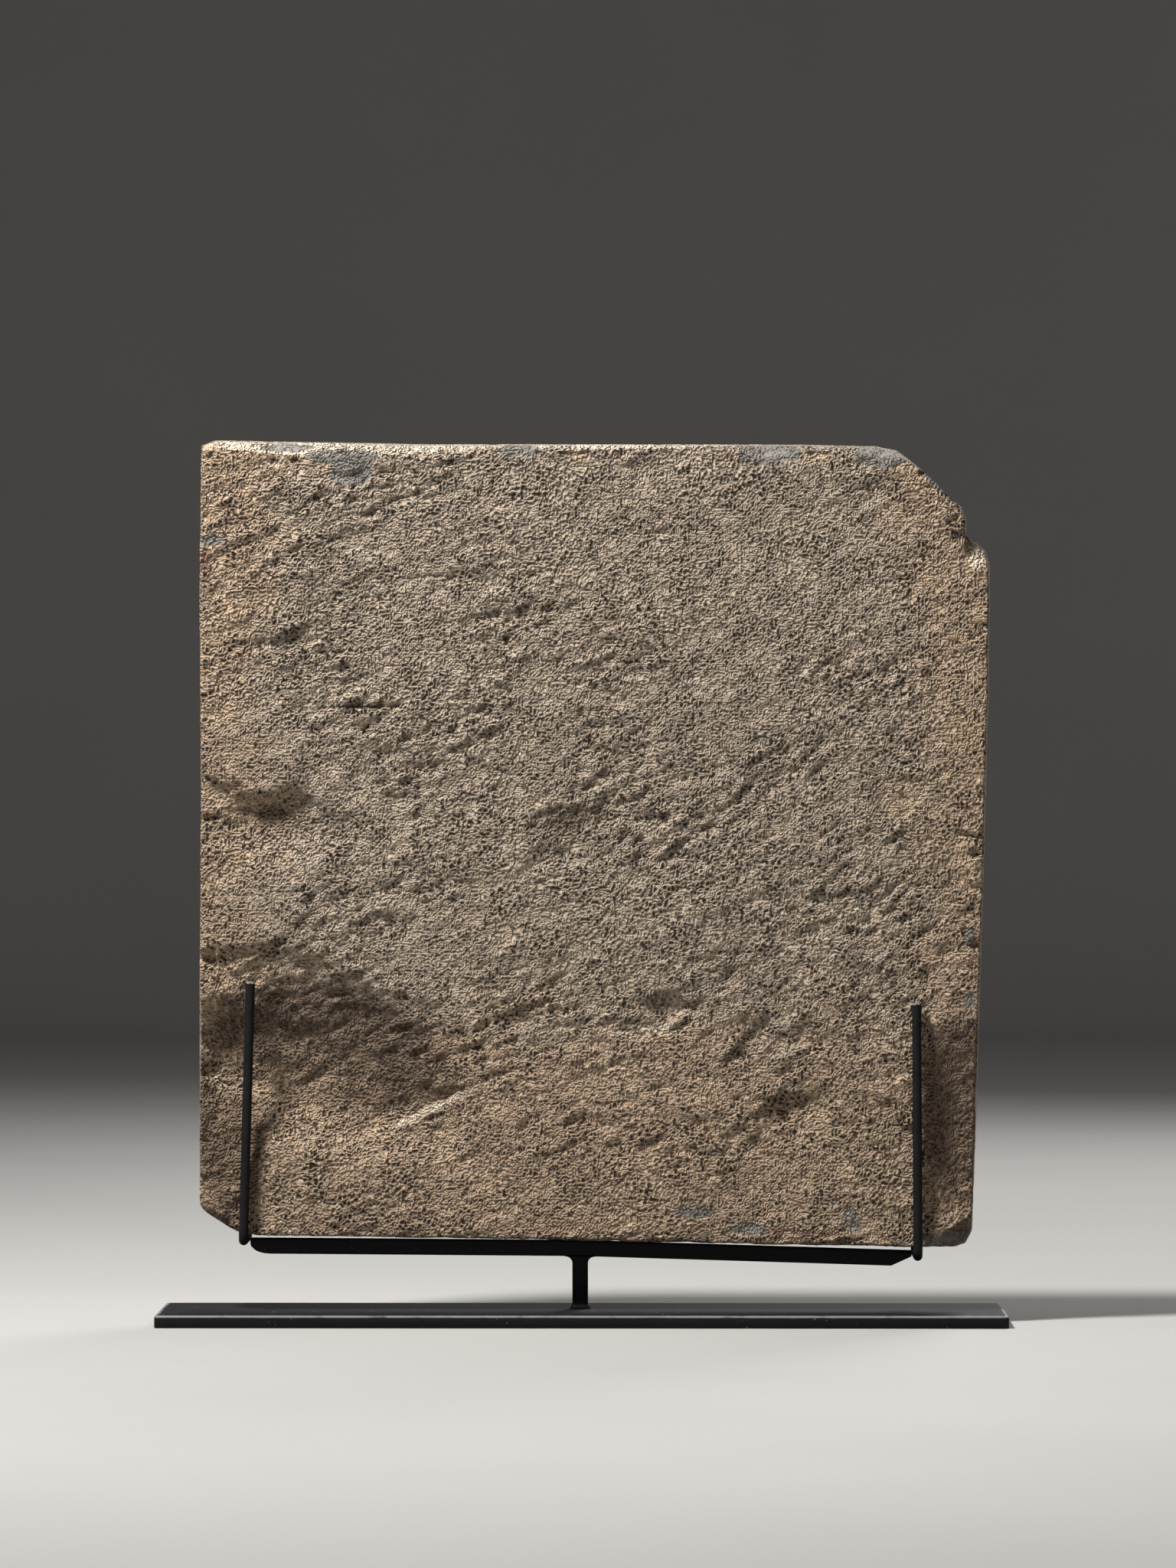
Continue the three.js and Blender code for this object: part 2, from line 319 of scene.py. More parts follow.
# Hollows of the rough face: where, half sizes, turn in degrees, depth, lean toward the upper rim.
# A negative depth is a swelling.
hollows = [
    ((-165, 168), (104, 58), -16, 15.0, -0.42),  # the great spall
    ((-160, 182), (96, 46), -18, 5.0, 0.45),  # its steeper upper rim
    ((-199, 184), (24, 13), -10, 2.5, 0.3),
    ((-239, 181), (10, 9), 0, 3.0, 0.3),
    ((-238, 156), (10, 8), 0, 3.0, 0.3),
    ((-230, 150), (26, 62), 8, 7.0, 0.2),
    ((-112, 138), (46, 14), 24, 2.5, -0.45),  # its bright lower lip
    ((-199, 120), (30, 10), 15, 2.0, -0.4),
    ((-176, 160), (16, 6), 20, -2.5, 0.3),
    ((-210, 118), (8, 5), 10, -1.6, 0.2),
    ((-224, 131), (8, 5), 10, -1.6, 0.2),
    ((-207, 375), (39, 43), 0, -6.0, -0.45),  # the tongue left standing
    ((-200, 326), (34, 12), 0, 4.0, 0.4),
    ((-190, 311), (54, 22), 0, 4.0, 0.2),
    ((-210, 267), (38, 29), 24, -5.5, -0.45),  # the ledge over the great spall
    ((-10, 316), (24, 12), 8, 2.4, 0.2),
    ((-12, 298), (28, 8), 10, 1.4, -0.4),
    ((54, 197), (20, 10), 0, 4.5, 0.3),
    ((46, 190), (32, 8), 0, 2.5, -0.4),
    ((136, 258), (8, 5), -35, 2.6, 0.3),
    ((107, 180), (25, 6), 55, 3.0, 0.3),
    ((97, 158), (16, 6), 35, 1.6, -0.4),
    ((136, 129), (30, 19), 20, 5.0, 0.4),
    ((250, 128), (30, 73), 0, 6.0, 0.0),  # the right margin falls away low down
    ((-106, 524), (18, 4), 4, 1.4, 0.2),
    ((-90, 444), (5, 3.5), 10, 2.0, 0.2),
    ((-32, 476), (4, 2.5), 10, 1.8, 0.2),
    ((72, 447), (4, 2.5), 10, 1.8, 0.2),
    ((9, 405), (4, 2.5), 10, 1.8, 0.2),
    ((-165, 430), (4, 3), 10, 1.8, 0.2),
    ((-193, 433), (32, 6), 6, 1.6, 0.3),
    ((-239, 230), (6, 5), -20, 5.0, 0.3),  # pits along the left edge
    ((-237, 321), (7, 3), 0, 3.0, 0.3),
    ((-239, 264), (6, 2.5), 0, 3.0, 0.3),
    ((-233, 346), (11, 3), 0, 2.0, 0.3),
    ((250, 239), (7, 3), -10, 4.5, 0.3),  # and along the right edge
    ((250, 300), (7, 2.5), -10, 2.6, 0.3),
    ((248, 311), (12, 2.5), -4, 2.4, 0.3),
    ((206, 473), (11, 2), 0, 2.0, 0.3),
    ((218, 489), (5, 2), 0, 2.0, 0.3),
]
# Thin grooves: where, half length, half width, turn, depth. A negative depth is a thin ridge.
grooves = [
    ((-142, 393.3), 28, 1.7, 1, 2.6), ((-131, 393), 16, 1.5, 2, 1.6), ((-140.6, 377.8), 12, 1.4, 0, 1.8),
    ((50, 504.3), 14, 1.5, 3, 2.2), ((70.6, 506.5), 4.5, 1.3, 0, 1.6), ((-57, 534), 7, 1.7, 84, 1.6),
    ((209, 461), 7.5, 1.4, 86, 1.8), ((173, 543.3), 21, 0.5, 0, 0.5), ((75, 323), 5, 1.4, 6, 1.8),
    ((28, 377), 9, 1.2, -6, 1.3), ((62, 372), 8, 1.2, 14, 1.4), ((100, 144), 10, 1.6, 4, 1.8),
    ((-98, 134), 30, 3.6, 27, -2.4), ((36, 187.5), 13, 2.4, -14, -1.8), ((59, 191.5), 13, 2.4, 31, -1.8),
    ((118, 145.5), 11, 2.4, -8, -1.8), ((-233, 228), 14, 2.2, 88, -1.6),
]
# Broken corners: two points of the line where the break starts, and how steeply it falls away on the line's
# right-hand side.
breaks = [
    ((-243, 78), (-220, 61), 0.9), ((226, 53), (247, 67), 0.9), ((244.2, 498.2), (223.7, 534.3), 0.3),
]
# The bevel along the top arris: where, and how wide it is there.
bevel = [
    (-245, 7), (-226, 5), (-208, 7.5), (-180, 8.5), (-165, 6), (-150, 5), (-128, 9), (-108, 6.5), (-90, 7.5),
    (-72, 6), (-56, 3.5), (-30, 3), (0, 3.6), (30, 3), (60, 2.4), (92, 3), (101, 7), (118, 10.5), (134, 9),
    (142, 4.5), (160, 5), (174, 7), (188, 11), (202, 8), (216, 5), (240, 4),
]
# A chip in the right edge: above a line that falls to the right, the face falls away upward.
edgeChip = {"left": 244.5, "lineZ": 485.1, "lineFall": 0.6, "floorFall": 0.4}


# A polyline's points at given shares of its length.
def alongLine(points, share):
    points = np.array(points, dtype=float)
    steps = np.hypot(*np.diff(points, axis=0).T)
    reached = np.concatenate([[0], np.cumsum(steps)]) / steps.sum()
    return np.stack([np.interp(share, reached, values) for values in points.T], axis=-1)


# A Coons patch over the outline: the two ruled surfaces between opposite edges are added up, and the surface
# spanned by the four corners is taken off once.
def onOutline(u, v):
    foot, top = [alongLine(outline[edge], u)[:, None] for edge in ("foot", "top")]
    left, right = [alongLine(outline[edge], v)[None] for edge in ("left", "right")]
    u, v = u[:, None, None], v[None, :, None]
    corners = (1 - v) * ((1 - u) * foot[0] + u * foot[-1]) + v * ((1 - u) * top[0] + u * top[-1])
    patch = (1 - v) * foot + v * top + (1 - u) * left + u * right - corners
    return patch[..., 0], patch[..., 1]


# Draws the outline in by a distance at the left, right and top, and leaves the foot where it is.
def drawnIn(x, z, distance):
    middle, halfWidth = (stoneLow[0] + stoneHigh[0]) / 2, (stoneHigh[0] - stoneLow[0]) / 2
    foot, height = stoneLow[2], stoneHigh[2] - stoneLow[2]
    return middle + (x - middle) * (1 - distance / halfWidth), foot + (z - foot) * (1 - distance / height)


# Even shares from 0 to 1, with a few narrower ones at both ends.
def rimmedShares(cells, rimCells, rimCell):
    rim = np.arange(rimCells) * rimCell
    inner = np.linspace(rimCells * rimCell, 1 - rimCells * rimCell, cells - 2 * rimCells + 1)
    return np.concatenate([rim, inner, 1 - rim[::-1]])


# A hollow's depth: inside its ellipse, depth times (1 - r squared). The lean shifts the deepest point toward
# the upper rim, which makes that rim the steeper one, and a negative lean shifts it toward the lower rim.
def hollowDepth(hollow, x, z):
    (atX, atZ), (halfAlong, halfAcross), turn, depth, lean = hollow
    along, across = turned(x - atX, z - atZ, turn)
    along, across = along / halfAlong, across / halfAcross
    across = across - lean * (1 - np.clip(across, -1, 1) ** 2)
    return depth * np.clip(1 - along ** 2 - across ** 2, 0, None)


# Stone split along its grain: folded noise stretched along a turned axis, sharp in its creases.
def combed(x, z, turn, length, width, seed):
    along, across = turned(x, z, turn)
    first = np.abs(noise(along / length, across / width, seed))
    second = np.abs(noise(2 * along / length, 2 * across / width, seed + 1))
    return 0.42 - first - 0.5 * second


# Thin layers that have flaked off: noise cut at a level, with a steep step round each flake.
def flakes(x, z):
    along, across = turned(x, z, 20)
    large = layeredNoise(along / 1.8, across, 17, 131, layers=4, share=0.6)
    small = layeredNoise(along / 1.5, across, 8, 141, layers=3, share=0.6)
    return eased(large, 0.02, 0.22) + 0.7 * eased(small, 0.25, 0.45)


# How deep the rough face lies behind the slab's highest plane: slow waves, combed lumps that turn with the
# place, knobs a few millimetres wide, and the named hollows and grooves on slightly warped coordinates.
def roughDepth(x, z):
    warpedX = x + 5 * layeredNoise(x, z, 34, 11) + 1.6 * noise(x / 7, z / 7, 14)
    warpedZ = z + 4 * layeredNoise(x, z, 34, 12) + 1.2 * noise(x / 7, z / 7, 15)
    depth = stone["lying"] + stone["waves"] * layeredNoise(x, z, 105, 21, layers=2)
    low = eased(170 - z, 0, 90)
    right = eased(x, 40, 160) * (1 - low)
    lumps = combed(x, z, 14, 36, 9, 31) * low + combed(x, z, 34, 26, 9, 41) * right
    lumps += combed(x, z, 22, 30, 9, 51) * (1 - low) * (1 - right)
    patchy = 0.55 + 0.9 * eased(layeredNoise(x, z, 70, 61, layers=2), -0.6, 0.6)
    rough = patchy * (1 - 0.6 * blotches(x, z, smoothSpots, 20))
    knobs = 0.3 - np.abs(noise(warpedX / 4.2, warpedZ / 3.6, 71))
    depth += rough * (stone["lumps"] * lumps + stone["knobs"] * knobs)
    depth += stone["flakes"] * flakes(x, z) * rough
    for hollow in hollows:
        depth += hollowDepth(hollow, warpedX, warpedZ)
    wavering = z + 0.5 * noise(x / 6, z / 6, 16)
    for middle, halfLength, halfWidth, turn, deep in grooves:
        depth += hollowDepth((middle, (halfLength, halfWidth), turn, deep, 0), x, wavering)
    return np.maximum(depth, 0)


# Soft ellipses: 1 well inside, 0 at the rim, with a rim a given distance wide.
def blotches(x, z, spots, soft):
    total = np.zeros(x.shape)
    for atX, atZ, halfAlong, halfAcross, turn in spots:
        along, across = turned(x - atX, z - atZ, turn)
        inside = (1 - np.hypot(along / halfAlong, across / halfAcross)) * min(halfAlong, halfAcross)
        total = np.maximum(total, eased(inside, -soft, soft))
    return total


# Stretches where the rough face has less grain: middle, half sizes, turn.
smoothSpots = [
    (-207, 385, 34, 34, 0), (-216, 272, 26, 14, 24), (240, 330, 22, 90, 0), (20, 75, 200, 26, 2),
    (110, 490, 150, 60, -8), (-40, 250, 70, 30, 10),
]


# How far points lie from the four edges of a grid, measured along its rows and columns.
def edgeDistances(x, z):
    left = np.hypot(x - x[:1], z - z[:1])
    right = np.hypot(x - x[-1:], z - z[-1:])
    foot = np.hypot(x - x[:, :1], z - z[:, :1])
    top = np.hypot(x - x[:, -1:], z - z[:, -1:])
    return left, right, foot, top


# The rough face as three grids. Its outline is nibbled inward. Its depth adds up the rough depth, an arris
# worn to a quarter circle, and planes that fall away outside the bevel's, the breaks' and the chip's lines.
def roughFace():
    share = rimmedShares(stone["cells"], stone["rimCells"], stone["rimCell"])
    x, z = drawnIn(*onOutline(share, share), stone["undercut"])
    left, right, foot, top = edgeDistances(x, z)
    nibble = 0.35 + 0.5 * np.abs(layeredNoise(x, z, 9, 81))
    nibble = nibble + 0.7 * np.abs(layeredNoise(x, z, 40, 84, layers=2))
    x = x + nibble * (np.exp(-left / 4) - np.exp(-right / 4))
    z = z + nibble * (np.exp(-foot / 4) - np.exp(-top / 4))
    depth = roughDepth(x, z)
    edge = np.minimum(np.minimum(left, right), np.minimum(foot, top))
    worn = stone["arris"] + stone["arrisWear"] * np.abs(layeredNoise(x, z, 16, 91))
    inRound = np.clip(worn - edge, 0, None)
    depth += worn - np.sqrt(worn ** 2 - np.minimum(inRound, worn) ** 2)
    widths = np.array(bevel, dtype=float)
    width = np.interp(x, widths[:, 0], widths[:, 1]) * (1 + 0.25 * layeredNoise(x, z * 0, 12, 95))
    depth += stone["bevelSlope"] * np.clip(width - top, 0, None)
    for (fromX, fromZ), (toX, toZ), slope in breaks:
        length = math.hypot(toX - fromX, toZ - fromZ)
        beyond = ((x - fromX) * (toZ - fromZ) - (z - fromZ) * (toX - fromX)) / length
        depth += slope * np.clip(beyond + 0.8 * layeredNoise(x, z, 9, 97), 0, None)
    chipLine = edgeChip["lineZ"] - edgeChip["lineFall"] * (x - edgeChip["left"])
    depth += np.where(x > edgeChip["left"], edgeChip["floorFall"] * np.clip(z - chipLine, 0, 30), 0)
    return x, stoneLow[1] + depth, z


# The closed loop round a square grid: foot, right, top, left, without its last point.
def loopOf(grid):
    return np.concatenate([grid[:-1, 0], grid[-1, :-1], grid[:0:-1, -1], grid[0, :0:-1]])


# The slab as one closed mesh: the rough face, rings down its sides that flare to the dressed face's outline,
# and a coarser grid for the dressed face, joined by triangles that take two fine steps to one coarse one.
def makeStone():
    n = stone["cells"]
    x, y, z = roughFace()
    frontLoop = np.stack([loopOf(x), loopOf(y), loopOf(z)], axis=1)
    share = rimmedShares(n, stone["rimCells"], stone["rimCell"])
    backX, backZ = onOutline(share, share)
    backY = stoneHigh[1]
    arrisY = np.full(4 * n, backY - stone["dressedInset"])
    backLoop = np.stack([loopOf(backX), arrisY, loopOf(backZ)], axis=1)
    inward = np.array([stoneLow[0] + stoneHigh[0], 0, stoneLow[2] + stoneHigh[2]]) / 2 - backLoop
    inward[:, 1] = 0
    inward /= np.hypot(inward[:, 0], inward[:, 2])[:, None]
    along = np.concatenate([[0], np.cumsum(np.hypot(*np.diff(backLoop[:, ::2], axis=0).T))])
    rings = []
    steps = np.array([0.018, 0.045, 0.09, 0.16, 0.26, 0.37, 0.49, 0.61, 0.73, 0.85, 1.0])
    for step in steps:
        ring = frontLoop + (backLoop - frontLoop) * [[eased(step, -0.2, 1.0), step, eased(step, -0.2, 1.0)]]
        rough = np.abs(layeredNoise(along, along * 0 + step * stone["sideDepth"], 15, 101))
        rough = rough * stone["sideRough"] + stone["sideLeast"]
        rings.append(ring + inward * (rough * (1 - 0.4 * step))[:, None])
    rings = np.array(rings)
    coarse = share[::2]
    dressedX, dressedZ = onOutline(coarse, coarse)
    middleX, middleZ = (stoneLow[0] + stoneHigh[0]) / 2, (stoneLow[2] + stoneHigh[2]) / 2
    reach = np.maximum(np.abs(dressedX - middleX), np.abs(dressedZ - middleZ))
    dressedX = dressedX - stone["dressedInset"] * 1.5 * (dressedX - middleX) / reach
    dressedZ = dressedZ - stone["dressedInset"] * 1.5 * (dressedZ - middleZ) / reach
    border = np.minimum.reduce(edgeDistances(dressedX, dressedZ))
    margin = stone["dressedMargin"]
    inField = eased(border + 0.8 * layeredNoise(dressedX, dressedZ, 30, 111), margin, margin + 3)
    pecked = stone["pecked"] * np.abs(layeredNoise(dressedX, dressedZ, 16, 113))
    waves = stone["dressedWaves"] * np.abs(layeredNoise(dressedX, dressedZ, 60, 115, layers=2))
    dip = inField * (stone["dressedField"] + pecked) + waves
    m = len(coarse)
    points = np.concatenate([
        np.stack([x, y, z], axis=-1).reshape(-1, 3), rings.reshape(-1, 3),
        np.stack([dressedX, backY - dip, dressedZ], axis=-1).reshape(-1, 3),
    ])
    points[:, 2] = np.clip(points[:, 2], stoneLow[2], stoneHigh[2])

    front = np.arange((n + 1) ** 2).reshape(n + 1, n + 1)
    loops = [loopOf(front)] + list(np.arange(rings.shape[0] * 4 * n).reshape(-1, 4 * n) + front.size)
    back = np.arange(m * m).reshape(m, m) + front.size + rings.shape[0] * 4 * n
    quads = [quadsOf(front)]
    for ring, following in zip(loops, loops[1:]):
        quads.append(np.stack([ring, following, np.roll(following, -1), np.roll(ring, -1)], axis=1))
    quads.append(quadsOf(back)[:, ::-1])
    fine, wide = loops[-1], loopOf(back)
    nextFine, nextWide = np.roll(fine, -1), np.roll(wide, -1)
    triangles = np.concatenate([
        np.stack([fine[::2], wide, nextFine[::2]], axis=1),
        np.stack([nextFine[::2], wide, nextWide], axis=1),
        np.stack([nextFine[::2], nextWide, np.roll(fine, -2)[::2]], axis=1),
    ])
    piece = makePiece("stone", points, np.concatenate(quads).tolist() + triangles.tolist())
    return piece, points, front.size


# The faces of a grid of point numbers, turned toward -Y where x runs along the first axis and z the second.
def quadsOf(grid):
    return np.stack([grid[:-1, :-1], grid[1:, :-1], grid[1:, 1:], grid[:-1, 1:]], axis=-1).reshape(-1, 4)


# Stains: how wide a stain's edge is, then its spots as middle, half sizes and turn.
stains = {
    "bare": (2.5, [
        (-152, 552, 24, 5, 0), (-148, 542, 14, 8, 0), (-188, 558, 16, 3, 0), (-237, 499, 8, 4, 0),
        (-41, 556, 14, 4, 0), (120, 554, 20, 7, 0), (190, 553, 16, 8, -10), (71, 71, 13, 4, -4),
        (107, 60, 11, 4, 0), (172, 66, 5, 9, 20), (232, 53, 22, 5, 0), (247, 246, 4, 4, 0),
        (247, 206, 4, 5, 0), (224, 537, 28, 2.5, -42),
    ]),
    "ochre": (3, [
        (-229, 541, 9, 6, 0), (-160, 544, 12, 5, 0), (-124, 545, 5, 3, 0), (-1, 552, 6, 3, 0),
        (92, 554, 9, 3, 0), (151, 552, 11, 4, 0), (207, 543, 16, 7, -20), (188, 118, 2.6, 3.2, 0),
        (244, 375, 10, 12, 0), (10, 62, 90, 5, 0),
    ]),
    "red": (2.5, [(-240, 485, 4, 8, 0), (150, 57, 16, 3, 0), (125, 59, 8, 3, 0), (246, 282, 3, 3, 0)]),
    # The soil spots are partly brown soil and partly painted shade: they lie on the great spall's upper rim,
    # under the tongue, along the foot, on the downward corner facets, in a dent and down the low margins,
    # where shade falls.
    "soilAndShade": (10, [
        (240, 136, 26, 66, 0), (-226, 130, 26, 70, 4), (-160, 176, 84, 40, -14), (0, 52, 250, 3.5, -1),
        (-200, 322, 34, 8, 0), (-232, 66, 16, 9, -36), (242, 57, 16, 9, 35), (-10, 318, 26, 9, 8),
    ]),
    # The pale spots are partly cream crust and partly painted highlight: they lie on the top bevel, on the
    # lit lower lip of the great spall, on two lit ridges, on the chip's upward face and in one small spot.
    "paleCrustAndHighlight": (3, [
        (-150, 560, 92, 7, 0), (252, 490, 8, 10, 0), (-98, 135, 28, 2.6, 27), (48, 188, 22, 2, 8),
        (188, 121, 3, 1.5, 0), (20, 560, 80, 3, 0),
    ]),
}
# Where the attributes begin and are full, in depth behind the rough face's highest plane or in distance.
reaches = {
    "stainsEnd": (14, 24), "side": (8, 16), "dressed": (46.2, 46.9),
    "lowWarm": (0, 260), "edgeWarm": (150, 245),
}


# One number a point for each stain, which fades out down the sides, for the sides, for the dressed face, and
# for the warmer tone that lies low down and toward the left and right edges.
def storeStoneAttributes(piece, points, frontCount):
    x, y, z = points.T
    inside = y - stoneLow[1]
    for name, (soft, spots) in stains.items():
        amount = blotches(x, z, spots, soft) * (1 - eased(inside, *reaches["stainsEnd"]))
        storeAttribute(piece, name, amount)
    dressed = eased(inside, *reaches["dressed"])
    offFace = np.arange(len(points)) >= frontCount
    storeAttribute(piece, "side", offFace * eased(inside, *reaches["side"]) * (1 - dressed))
    storeAttribute(piece, "dressed", dressed)
    warm = eased(330 - z + 50 * layeredNoise(x, z, 90, 121), *reaches["lowWarm"])
    nearEdge = np.abs(x - 5) + 20 * layeredNoise(x, z, 60, 125)
    storeAttribute(piece, "warm", np.maximum(warm, eased(nearEdge, *reaches["edgeWarm"])))


# Heights and the grain's size are millimetres. The values called low say how much each noise darkens its own
# dips, a darkening that is partly dirt and partly painted shade in the crevices; the one for the strip beside
# each ridge paints a shadow there.
stoneLook = {
    "grey": paint(174, 156, 135), "tan": paint(180, 155, 128), "soilAndShade": paint(88, 68, 50),
    "bare": paint(112, 109, 104), "ochre": paint(188, 160, 128), "red": paint(128, 88, 74),
    "paleCrustAndHighlight": paint(232, 214, 188), "dressed": paint(196, 182, 160), "side": paint(168, 154, 134),
    "grain": 2.4, "fold": 1.6,
    "crease": 4.0, "curl": 1.2, "medium": 3.0, "ridge": 2.2, "ridgeWidth": 0.05,
    "calmest": 0.7, "liveliest": 1.3,
    "shadeAndDirtColour": (0.10, 0.08, 0.06, 1), "shadeAndDirt": 0.78, "shadeAndDirtFrom": 0.37, "shadeAndDirtTo": 0.48,
    "lowFine": 1.0, "lowCurl": 0.2, "lowMedium": 0.3, "lowRidge": 0.1, "shadowUnderRidges": 0.15,
}


# Stains in the order they are laid on: how ragged, where they begin and are full, and how strong.
stainLook = {
    "soilAndShade": (1.2, 0.25, 1.05, 0.75), "ochre": (1.6, 0.4, 0.9, 0.6), "red": (1.6, 0.4, 0.9, 0.7),
    "paleCrustAndHighlight": (1.2, 0.3, 0.8, 0.7), "bare": (1.5, 0.42, 0.58, 0.85),
}


# Grey to tan stone whose bump is folded noise, finer curls and thin ridges, calmer in patches and on worked
# faces. The same noises darken the pits with dirt and painted shade, and paint a shadow along one side of
# each ridge; the stains go over them with ragged edges, the soil ones partly painted shade and the pale ones
# partly painted highlight.
def stoneMaterial():
    look = stoneLook
    sheet = Sheet("weathered stone")
    names = ("bare", "ochre", "red", "soilAndShade", "paleCrustAndHighlight", "side", "dressed", "warm")
    attribute = {name: sheet.attribute(name) for name in names}
    swirl = 1 - abs(sheet.grain(look["grain"], detail=0) * 2 - 1) * look["fold"]
    curl = sheet.grain(look["grain"], detail=0, place=sheet.pushed(2.0, 1.4))
    medium = sheet.grain(4.5, detail=1)
    streak = sheet.grain(7, stretch=(-22, (0.55, 1, 1)))
    ridged = sheet.step(sheet.grain(24), 0.46, 0.58)
    width = look["ridgeWidth"]
    ridge = (1 - sheet.step(abs(streak - 0.5), 0.0, width)) * ridged
    # A strip along one side of each ridge, darkened below as a painted shadow.
    under = (1 - sheet.step(abs(streak - 0.5 + width), 0.0, width)) * ridged
    broken = sheet.grain(7, detail=4, roughness=0.65)
    lively = sheet.step(sheet.grain(18, detail=3), 0.38, 0.58)
    patchy = look["calmest"] + (look["liveliest"] - look["calmest"]) * lively
    calm = (1 - attribute["dressed"] * 0.8) * (1 - attribute["bare"] * 0.6) * patchy
    height = swirl * look["crease"] + curl * look["curl"] + medium * look["medium"]
    height = height * calm + ridge * (1 - attribute["dressed"]) * look["ridge"]
    cloudy = sheet.grain(26, detail=3)
    warmth = sheet.step(attribute["warm"] + (cloudy - 0.5) * 0.8, 0.2, 0.9)
    colour = sheet.mixed(warmth, look["grey"], look["tan"])
    # Painted shade: where the bump noises dip, and along one side of each ridge, the colour is darkened
    # toward near black, standing for dirt in the crevices and for the shade that falls there.
    low = 0.5 + look["lowFine"] * (swirl - 0.5) + look["lowCurl"] * (curl - 0.5)
    low = low + look["lowMedium"] * (medium - 0.5)
    low = low + (ridge * look["lowRidge"] - under * look["shadowUnderRidges"]) * (1 - attribute["dressed"])
    top = sheet.step(low, look["shadeAndDirtFrom"], look["shadeAndDirtTo"])
    colour = sheet.mixed((1 - top) * calm * look["shadeAndDirt"], colour, look["shadeAndDirtColour"], "MULTIPLY")
    for name, (ragged, start, full, strength) in stainLook.items():
        amount = sheet.step(attribute[name] + (broken - 0.5) * ragged, start, full) * strength
        colour = sheet.mixed(amount, colour, look[name])
    colour = sheet.mixed(attribute["side"] * 0.8, colour, look["side"])
    colour = sheet.mixed(attribute["dressed"] * 0.85, colour, look["dressed"])
    return sheet.finish(Base_Color=colour, Roughness=0.94 - top * 0.08, Normal=sheet.bump(height))


stonePiece, stonePoints, roughCount = makeStone()
storeStoneAttributes(stonePiece, stonePoints, roughCount)
stonePiece.data.materials.append(stoneMaterial())
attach(stonePiece, "root")
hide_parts("stone_panel")
print("stone panel made:", len(stonePiece.data.polygons), "faces")


# A closed skin over rings of points that all run counter-clockwise about the way from ring to ring, capped at
# both ends.
def makeLoft(name, rings):
    rings = np.asarray(rings)
    count, around = rings.shape[:2]
    grid = np.arange(count * around).reshape(count, around)
    following = np.roll(grid, -1, axis=1)
    quads = np.stack([grid[:-1], following[:-1], following[1:], grid[1:]], axis=-1).reshape(-1, 4)
    caps = [grid[0, ::-1].tolist(), grid[-1].tolist()]
    return makePiece(name, rings.reshape(-1, 3), quads.tolist() + caps)


# A rounded rectangle round the origin, counter-clockwise: four quarter circles about the drawn-in corners.
def roundedRectangle(halfWidth, halfHeight, radius, steps=6):
    turn = (np.arange(4)[:, None] + np.linspace(0, 1, steps)) * math.pi / 2
    signX, signY = np.array([1, -1, -1, 1]), np.array([1, 1, -1, -1])
    x = signX[:, None] * (halfWidth - radius) + radius * np.cos(turn)
    y = signY[:, None] * (halfHeight - radius) + radius * np.sin(turn)
    return x.ravel(), y.ravel()


# Stores one value for each ring on all of its points.
def storeRingAttribute(piece, name, values, around):
    storeAttribute(piece, name, np.repeat(values, around))


# Gives a piece of the stand its material and what it rides on, and hides the node it replaces.
def addStandPiece(piece, node, material):
    piece.data.materials.append(material)
    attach(piece, "root")
    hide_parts(node)


steelLook = {
    "paint": paint(17, 17, 18), "lighter": paint(30, 30, 31), "dust": paint(150, 142, 128),
    "bare": paint(150, 148, 144), "roughness": 0.46, "gloss": 0.12,
}


# Black satin paint with faint brush marks, rubbed arrises and settled dust. The attribute worn says where it
# is rubbed, and there a pale grey is mixed in that is partly bare metal and partly a painted highlight; the
# attribute cut says where the metal is bare.
def steelMaterial(name, dusty):
    look = steelLook
    sheet = Sheet(name)
    brushed = sheet.grain(9, detail=3, stretch=(0, (0.12, 1, 1)))
    specks = sheet.step(sheet.grain(2.4, detail=1), 0.70, 0.76) * sheet.step(sheet.grain(40), 0.48, 0.62)
    worn = sheet.step(sheet.attribute("worn") + (sheet.grain(14, detail=2) - 0.5) * 1.4, 0.45, 1.0)
    colour = sheet.mixed(brushed, look["paint"], look["lighter"])
    # Painted highlight: the pale grey mixed in along worn arrises stands for the light a rounded arris
    # catches as well as for rubbed paint.
    colour = sheet.mixed(worn * 0.55, colour, look["bare"])
    colour = sheet.mixed(specks * dusty, colour, look["dust"])
    colour = sheet.mixed(sheet.attribute("cut"), colour, look["bare"])
    roughness = look["roughness"] + brushed * 0.16 + specks * dusty * 0.3 - worn * 0.1
    height = brushed * 0.04 + sheet.grain(3, detail=1) * 0.03
    return sheet.finish(
        Base_Color=colour, Roughness=roughness, Metallic=sheet.attribute("cut") * 0.9,
        Specular_IOR_Level=look["gloss"], Normal=sheet.bump(height),
    )


plate = {"cornerRadius": 3, "edgeRound": 1.6, "footRound": 0.5, "topRim": 4.0, "waver": 0.12}


